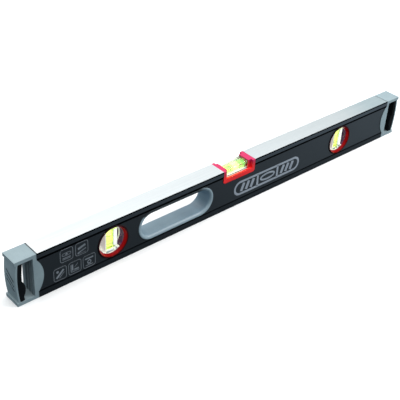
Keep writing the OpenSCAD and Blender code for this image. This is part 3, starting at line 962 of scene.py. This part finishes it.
for side, sign in SIDES:
    window_ring("fine_" + side + "_bezel_front", sign * PLUMB_X, 1, side + "_bezel_front")
    window_ring("fine_" + side + "_bezel_back", sign * PLUMB_X, -1, side + "_bezel_back")
    finished(side + "_vial_carrier", MAT_HOLDER, 0.15 * MM)
    finished(side + "_vial_plug", MAT_OLIVE, 0.2 * MM)
print("window rings spun")


# %% [markdown]
# ## The vials
# A vial block is a bar of clear acrylic with a bore down its middle. Drawn with a hollow bore,
# the block and the liquid would meet as two surfaces with a sliver of air between, and the glass
# would turn into a mirror. So the block is drawn solid, and the liquid is a body inside it.

# %% Bars and round bars
def bar(name, size, centre, material, width, node=None):
    """A bar with rounded edges. size and width are in mm, centre is in metres."""
    mesh = bmesh.new()
    bmesh.ops.create_cube(mesh, size=1.0)
    bmesh.ops.scale(mesh, vec=Vector(size) * MM, verts=mesh.verts)
    bmesh.ops.bevel(
        mesh, geom=list(mesh.edges), offset=width * MM, segments=4, affect="EDGES", profile=0.5
    )
    bmesh.ops.translate(mesh, vec=Vector(centre), verts=mesh.verts)
    obj = to_object(mesh, name, material)
    smooth(obj, 50)
    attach(obj, nodes[node]["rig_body"] if node else "level")
    if node:
        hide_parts(node)
    return obj


def round_bar(name, length, radius, end, axis, centre, material, node, rings=48, steps=8):
    """A spun bar with rounded ends. Its sizes are in mm, centre is in metres."""
    outline = [(0.0, -length / 2)]
    for i in range(steps + 1):
        a = math.pi / 2 * i / steps
        outline.append((radius - end + end * math.sin(a), -length / 2 + end - end * math.cos(a)))
    for i in range(steps + 1):
        a = math.pi / 2 * i / steps
        outline.append((radius - end + end * math.cos(a), length / 2 - end + end * math.sin(a)))
    outline.append((0.0, length / 2))
    mesh = bmesh.new()
    verts = [mesh.verts.new((r * MM, 0, z * MM)) for r, z in outline]
    edges = [mesh.edges.new(pair) for pair in zip(verts, verts[1:])]
    bmesh.ops.spin(
        mesh, geom=verts + edges, cent=(0, 0, 0), axis=(0, 0, 1),
        angle=2 * math.pi, steps=rings, use_merge=True,
    )
    bmesh.ops.remove_doubles(mesh, verts=mesh.verts, dist=1e-7)
    bmesh.ops.recalc_face_normals(mesh, faces=mesh.faces)
    if axis == "x":
        bmesh.ops.rotate(mesh, verts=mesh.verts, matrix=Matrix.Rotation(math.pi / 2, 3, "Y"))
    bmesh.ops.translate(mesh, vec=Vector(centre), verts=mesh.verts)
    obj = to_object(mesh, name, material)
    smooth(obj, 60)
    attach(obj, nodes[node]["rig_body"])
    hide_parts(node)


# %% [markdown]
# The liquid fills its bore but for two hundredths of a millimetre. A white backing lies between
# the tray and the level vial's block and laps into the block a little: with a gap there, the
# block's flat underside would mirror the sky instead of showing the white behind it.

# %% Blocks, liquids and backing
bar("fine_level_vial_block", (41.5, 14, 9), (0, 0, VIAL_Z), MAT_ACRYLIC, 1.0, "level_vial_block")
round_bar(
    "fine_level_vial_liquid", 28.0, 3.58, 0.8, "x", (-0.3 * MM, 0, VIAL_Z), MAT_LIQUID, "level_vial_liquid"
)
for side, sign in SIDES:
    centre = (sign * PLUMB_X, 0, MID_Z)
    block, liquid = side + "_vial_block", side + "_vial_liquid"
    bar("fine_" + block, (14, 16.4, 28.6), centre, MAT_ACRYLIC, 0.5, block)
    round_bar("fine_" + liquid, 24.0, 3.98, 0.8, "z", centre, MAT_PLUMB_LIQUID, liquid)
backing = bar("vial_backing", (41.0, 13.0, 1.3), (0, 0, 45.35 * MM), MAT_WHITE, 0.25)
print("three vials and the backing built")


# %% [markdown]
# ## The bubbles
# A bubble in a level vial is longer than it is high, and it hangs under the top of the bore. The
# plumb vials stand upright while the level lies flat, so each of their bubbles has risen to the
# top. A ball stretched along the vial would get pointed ends, so a bubble is a short round bar
# whose ends are rounded almost as far as its radius.

# %% Bubbles
LEVEL_BUBBLE_RISE = 0.9 * MM
PLUMB_BUBBLE_RISE = 7.2 * MM
round_bar(
    "fine_level_bubble", 11, 2.4, 2.3, "x", (0, 0, VIAL_Z + LEVEL_BUBBLE_RISE), MAT_AIR, "level_bubble", 40
)
for side, sign in SIDES:
    centre = (sign * PLUMB_X, 0, MID_Z + PLUMB_BUBBLE_RISE)
    round_bar("fine_" + side + "_bubble", 9, 3.1, 2.9, "z", centre, MAT_AIR, side + "_bubble", 40)
print("bubbles built")


# %% [markdown]
# ## Ring marks
# Two black bands on each bore tell when the bubble is in the middle. They could be a mask in the
# liquid's material, but light that bends in the block would smear it. They repeat, so a tree makes
# them: a line of two points carries one thin tube each, turned along the vial.

# %% Ring marks tree
RING_THICKNESS = 0.12 * MM


def ring_tree():
    tree, source, result, keys = new_tree(
        "Ring marks", ("Radius", "f"), ("Width", "f"), ("Spacing", "f"), ("Count", "i"), ("Material", "m")
    )
    s = source.outputs
    back_half = add_node(tree, "ShaderNodeMath", [(0, s["Spacing"]), (1, -0.5)], operation="MULTIPLY")
    start = add_node(tree, "ShaderNodeCombineXYZ", [("Z", back_half.outputs[0])])
    step = add_node(tree, "ShaderNodeCombineXYZ", [("Z", s["Spacing"])])
    line = add_node(
        tree, "GeometryNodeMeshLine",
        [("Count", s["Count"]), ("Start Location", start.outputs[0]), ("Offset", step.outputs[0])],
        mode="OFFSET",
    )
    tube = add_node(
        tree, "GeometryNodeMeshCylinder", [("Vertices", 48), ("Radius", s["Radius"]), ("Depth", s["Width"])],
        fill_type="NONE",
    )
    wall = add_node(
        tree, "GeometryNodeExtrudeMesh",
        [("Mesh", tube.outputs[0]), ("Offset Scale", RING_THICKNESS), ("Individual", False)],
    )
    both = add_node(tree, "GeometryNodeJoinGeometry")
    flipped = add_node(tree, "GeometryNodeFlipFaces", [("Mesh", tube.outputs[0])])
    tree.links.new(wall.outputs[0], both.inputs[0])
    tree.links.new(flipped.outputs[0], both.inputs[0])
    joined = add_node(
        tree, "GeometryNodeMergeByDistance", [("Geometry", both.outputs[0]), ("Distance", 1e-6)]
    )
    placed = add_node(
        tree, "GeometryNodeInstanceOnPoints", [("Points", line.outputs[0]), ("Instance", joined.outputs[0])]
    )
    close_tree(tree, placed.outputs[0], s["Material"], result)
    return tree, keys


RING_TREE, RING_KEYS = ring_tree()
print("ring tree inputs", list(RING_KEYS))


# %% [markdown]
# The tree draws its line of rings upright. The plumb vials use it as it is, and the level vial's
# pair is turned to lie along the beam. A ring stands a few hundredths of a millimetre off the liquid.

# %% Ring marks in their places
def ring_marks(node, radius, spacing, along_x, centre):
    obj = grow(
        "fine_" + node, RING_TREE, RING_KEYS,
        {"Radius": radius * MM, "Width": 0.4 * MM, "Spacing": spacing * MM, "Count": 2, "Material": MAT_RING},
    )
    turn = Matrix.Rotation(math.pi / 2, 4, "Y") if along_x else Matrix.Identity(4)
    obj.data.transform(Matrix.Translation(centre) @ turn)
    smooth(obj, 40)
    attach(obj, "level")
    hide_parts(node)


ring_marks("level_vial_rings", 3.62, 12.0, True, (0, 0, VIAL_Z))
for side, sign in SIDES:
    ring_marks(side + "_vial_rings", 4.02, 10.0, False, (sign * PLUMB_X, 0, MID_Z))
print("ring marks built")


# %% [markdown]
# ## Printed marks
# The dark web carries pale printing: five small framed pictograms near one end, and a large mark
# beside the level vial. The frames repeat, so a tree sets a rounded outline on each of five
# points, which is quicker to change than five drawn frames.

# %% Print tree
def frame_tree():
    tree, source, result, keys = new_tree(
        "Icon frames", ("Width", "f"), ("Height", "f"), ("Corner", "f"), ("Line", "f"), ("Lift", "f"),
        ("Material", "m"),
    )
    s = source.outputs
    outline = add_node(
        tree, "GeometryNodeCurvePrimitiveQuadrilateral", [("Width", s["Width"]), ("Height", s["Height"])]
    )
    fillet = add_node(
        tree, "GeometryNodeFilletCurve",
        [("Curve", outline.outputs[0]), ("Count", 6), ("Radius", s["Corner"])], mode="POLY",
    )
    ink = add_node(
        tree, "GeometryNodeCurvePrimitiveQuadrilateral", [("Width", s["Line"]), ("Height", s["Lift"])]
    )
    ribbon = add_node(
        tree, "GeometryNodeCurveToMesh", [("Curve", fillet.outputs[0]), ("Profile Curve", ink.outputs[0])]
    )
    placed = add_node(
        tree, "GeometryNodeInstanceOnPoints", [("Points", s["Geometry"]), ("Instance", ribbon.outputs[0])]
    )
    close_tree(tree, placed.outputs[0], s["Material"], result)
    return tree, keys


FRAME_TREE, FRAME_KEYS = frame_tree()
print("frame tree inputs", list(FRAME_KEYS))


# %% [markdown]
# Each pictogram's middle is one point, given as the distance along the beam and the height, in
# millimetres. The frames are grown flat and then stood up against the web.

# %% Frames of the pictograms
ICONS = [(-240.3, 38.0), (-221.8, 38.0), (-248.9, 17.4), (-230.9, 17.4), (-213.0, 17.4)]
FACE = WEB_Y + 0.03 * MM
spots = bpy.data.meshes.new("icon_spots")
spots.from_pydata([(x * MM, z * MM, 0) for x, z in ICONS], [], [])
frames = grow(
    "print_icon_frames", FRAME_TREE, FRAME_KEYS,
    {"Width": 15.2 * MM, "Height": 15.6 * MM, "Corner": 2.6 * MM, "Line": 0.55 * MM, "Lift": 0.06 * MM,
     "Material": MAT_ICON}, spots,
)
stand_up = Matrix(((1, 0, 0, 0), (0, 0, -1, -FACE), (0, 1, 0, 0), (0, 0, 0, 1)))
frames.data.transform(stand_up)
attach(frames, "level")
print("icon frames", len(frames.data.polygons))


# %% [markdown]
# Flat signs are built from a few outlines: a straight stroke, an oval and a pill, each full or with
# a hole. Each outline becomes a thin slab of ink that stands a few hundredths of a millimetre
# proud of the web. A curve object could be filled instead, but a slab made point by point needs no
# conversion and has clean walls.

# %% Strokes of ink
def slab(mesh, outline, hole=None):
    """A thin slab in the web's plane. outline and hole are lists of (x, z) in mm."""
    depths = (-(FACE + 0.03 * MM), -(WEB_Y - 0.02 * MM))
    layers = []
    for ring in (outline, hole) if hole else (outline,):
        layers.append([[mesh.verts.new((x * MM, y, z * MM)) for x, z in ring] for y in depths])
    pairs = [(i, (i + 1) % len(outline)) for i in range(len(outline))]
    for front, back in layers:
        for i, j in pairs:
            mesh.faces.new((front[i], front[j], back[j], back[i]))
    if hole:
        for rim, edge in zip(*layers):
            for i, j in pairs:
                mesh.faces.new((rim[i], rim[j], edge[j], edge[i]))
    else:
        for loop in layers[0]:
            mesh.faces.new(loop)


def stroke(x0, z0, x1, z1, width):
    d = Vector((x1 - x0, z1 - z0)).normalized()
    n = Vector((-d.y, d.x)) * width / 2
    return [(x0 + n.x, z0 + n.y), (x0 - n.x, z0 - n.y), (x1 - n.x, z1 - n.y), (x1 + n.x, z1 + n.y)]


def oval(x, z, rx, rz, count=28):
    turns = [2 * math.pi * i / count for i in range(count)]
    return [(x + rx * math.cos(a), z + rz * math.sin(a)) for a in turns]


def pill(x, z, half, r, count=12):
    pts = []
    for i in range(count + 1):
        a = -math.pi / 2 + math.pi * i / count
        pts.append((x + half + r * math.cos(a), z + r * math.sin(a)))
    for i in range(count + 1):
        a = math.pi / 2 + math.pi * i / count
        pts.append((x - half + r * math.cos(a), z + r * math.sin(a)))
    return pts


def ink_object(name, slabs, material):
    mesh = bmesh.new()
    for s in slabs:
        slab(mesh, *s)
    bmesh.ops.recalc_face_normals(mesh, faces=mesh.faces)
    obj = to_object(mesh, name, material)
    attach(obj, "level")
    return obj


# %% [markdown]
# The pictograms are plain signs for what the tool does: its vial, a level on a slope, a rule, a
# square corner, and a hook with its ring.

# %% Pictograms
def bars(x, z, *strokes):
    """Straight strokes round the point x, z. Each is two ends and a width."""
    return [(stroke(x + x0, z + z0, x + x1, z + z1, width),) for x0, z0, x1, z1, width in strokes]


def pictograms():
    vial, slope, rule, corner, hook = ICONS
    x, z = vial
    s = [(pill(x, z + 1.2, 3.6, 1.9), pill(x, z + 1.2, 3.6, 1.4)), (oval(x, z + 1.2, 1.5, 0.7),)]
    s += bars(x, z, (-5, -3.4, 5, -3.4, 0.8), (-5, -4.9, 5, -4.9, 0.5))
    s += bars(*slope, (-5.2, -4.8, 5.2, -1.6, 1.3), (-4.6, 0.4, 4.6, 3.2, 2.6), (-5.2, -5.9, 5.2, -5.9, 0.4))
    x, z = rule
    s += bars(x, z, (-4.6, -4.4, 4.4, 4.2, 2.4), (-1.0, -5.2, 5.0, 0.6, 0.7))
    s.append((oval(x - 3.0, z + 3.4, 1.5, 1.5),))
    s += bars(*corner, (-4.8, -4.6, -4.8, 4.8, 0.8), (-5.2, -4.8, 5.2, -4.8, 0.8))
    s += bars(*corner, (-3.0, -3.0, -3.0, 4.6, 1.9), (-0.8, -2.6, 4.8, -2.6, 1.9), (-0.2, 0.4, 3.8, 4.2, 0.7))
    x, z = hook
    s += bars(x, z, (-5.2, 3.6, 5.2, 3.6, 1.6))
    s.append((oval(x, z - 1.2, 2.6, 2.6), oval(x, z - 1.2, 1.5, 1.5)))
    s += bars(x, z, (-4.6, -5.0, 4.6, -5.0, 0.7), (0, 1.2, 0, 3.2, 0.8))
    return s


signs = ink_object("print_pictograms", pictograms(), MAT_ICON)
print("pictograms", len(signs.data.polygons), "faces")


# %% [markdown]
# The large mark is a drawing of a vial: a long capsule with its two lines and a bubble between
# them, and slanted bars at both ends. Its sizes are in millimetres, and the bars are made by a loop
# that runs outwards from the two lines.

# %% Large mark
def vial_mark():
    x, z, half, r = 50.3, 22.5, 46.0, 10.0
    s = [(pill(x, z, half, r, 20), pill(x, z, half, r - 2.9, 20))]
    s += bars(x, z, (-17, -8, -17, 8, 3.2), (17, -8, 17, 8, 3.2))
    s.append((oval(x, z, 13.0, 5.2, 40), oval(x, z, 10.2, 2.6, 40)))
    for k in (-1, 1):
        for i in range(3):
            s += bars(x + k * (26.0 + 8.0 * i), z, (-2.0, -5.4, 2.0, 5.4, 4.3))
    return s


ink_object("print_vial_mark", vial_mark(), MAT_PRINT)
print("printing done")


# %% [markdown]
# ## Floor, light and camera
# The level lies on a plain pale floor. A white floor throws light up onto whatever stands on it,
# and the dark sides of the beam would turn grey. A darker floor would cure that and look wrong. So
# the floor is seen and takes shadows, and is hidden from the light that bounces.

# %% Floor
floor_mesh = bmesh.new()
bmesh.ops.create_grid(floor_mesh, x_segments=8, y_segments=8, size=6.0)
floor_data = bpy.data.meshes.new("floor")
floor_mesh.to_mesh(floor_data)
floor_mesh.free()
floor = bpy.data.objects.new("floor", floor_data)
bpy.context.scene.collection.objects.link(floor)
mat, tree, shader = surface("pale_floor", Roughness=0.9)
pale = ramp(tree, noise(tree, 3, 2), (0.3, grey(0.90)), (0.7, grey(0.92)))
tree.links.new(pale, shader.inputs["Base Color"])
shader.inputs["Specular IOR Level"].default_value = 0.0
floor_data.materials.append(mat)
floor.visible_diffuse = False
floor.visible_glossy = False
print("floor", [round(v, 1) for v in floor.dimensions])


# %% [markdown]
# The light is a bright dome that gets dimmer and bluer towards the horizon. One flat white sky
# would be simpler, but a flat metal face shows the part of the sky it mirrors, so with this one
# the far end of the level, which is seen at a flatter angle, mirrors the dimmer part and looks
# greyer than the near end. Past the edge of the floor the camera itself sees plain paper white.

# %% Dome
def dome():
    world = bpy.data.worlds.new("studio_dome")
    world.use_nodes = True
    bpy.context.scene.world = world
    tree = world.node_tree
    tex = tree.nodes.new("ShaderNodeTexCoord")
    split = tree.nodes.new("ShaderNodeSeparateXYZ")
    tree.links.new(tex.outputs["Generated"], split.inputs[0])
    height = math_node(tree, "MULTIPLY", math_node(tree, "ADD", split.outputs["Z"], 1.0), 0.5)
    colour = ramp(
        tree, height,
        (0.12, (0.01, 0.013, 0.016)), (0.20, (0.03, 0.04, 0.05)), (0.29, (0.60, 0.76, 0.88)),
        (0.48, (0.12, 0.15, 0.17)), (0.64, (0.17, 0.22, 0.24)), (0.715, (0.32, 0.42, 0.45)),
        (0.77, (0.90, 0.94, 0.95)), (0.83, (1.12, 1.13, 1.13)),
    )
    tree.links.new(colour, tree.nodes["Background"].inputs["Color"])
    tree.nodes["Background"].inputs["Strength"].default_value = 1.0
    paper = tree.nodes.new("ShaderNodeBackground")
    paper.inputs["Color"].default_value = (1.0, 1.0, 1.0, 1)
    path = tree.nodes.new("ShaderNodeLightPath")
    both = tree.nodes.new("ShaderNodeMixShader")
    tree.links.new(path.outputs["Is Camera Ray"], both.inputs[0])
    tree.links.new(tree.nodes["Background"].outputs[0], both.inputs[1])
    tree.links.new(paper.outputs[0], both.inputs[2])
    tree.links.new(both.outputs[0], tree.nodes["World Output"].inputs["Surface"])


dome()
print("dome", bpy.context.scene.world.name)


# %% [markdown]
# Two soft lamps do the rest: a wide one overhead for the top face, and a smaller one in front on
# the right, which lifts the far half of the side. Small lamps would leave hard spots on the metal.

# %% Lamps
def lamp(name, at, size, energy, aim=(0, 0, 0.03)):
    data = bpy.data.lights.new(name, "AREA")
    data.shape = "RECTANGLE"
    data.size, data.size_y = size
    data.energy = energy
    obj = bpy.data.objects.new(name, data)
    obj.location = at
    obj.rotation_euler = (Vector(aim) - Vector(at)).to_track_quat("-Z", "Y").to_euler()
    bpy.context.scene.collection.objects.link(obj)
    return obj


overhead = lamp("overhead", (0.1, 0.25, 1.9), (2.4, 2.0), 30)
front = lamp("front_right", (0.78, -0.65, 0.62), (0.6, 0.5), 9.5, (0.25, 0, 0.03))
bpy.context.scene.view_settings.view_transform = "Standard"
print("lamps", overhead.data.energy, "and", front.data.energy, "watts")

# %% [markdown]
# The camera stands to the left and in front, above the level, with a slight roll. A fairly long
# lens keeps the far end of a tool as long as this from shrinking too much.

# %% Camera
camera_data = bpy.data.cameras.new("camera")
camera_data.lens = 74.88
camera_data.sensor_width = 36.0
camera_data.clip_end = 50
camera = bpy.data.objects.new("camera", camera_data)
camera.location = (-0.59707, -0.58288, 0.56565)
camera.rotation_euler = tuple(math.radians(a) for a in (55.7086, -3.0154, -41.1285))
bpy.context.scene.collection.objects.link(camera)
bpy.context.scene.camera = camera
print("camera at", [round(v, 3) for v in camera.location], "lens", round(camera_data.lens, 1))
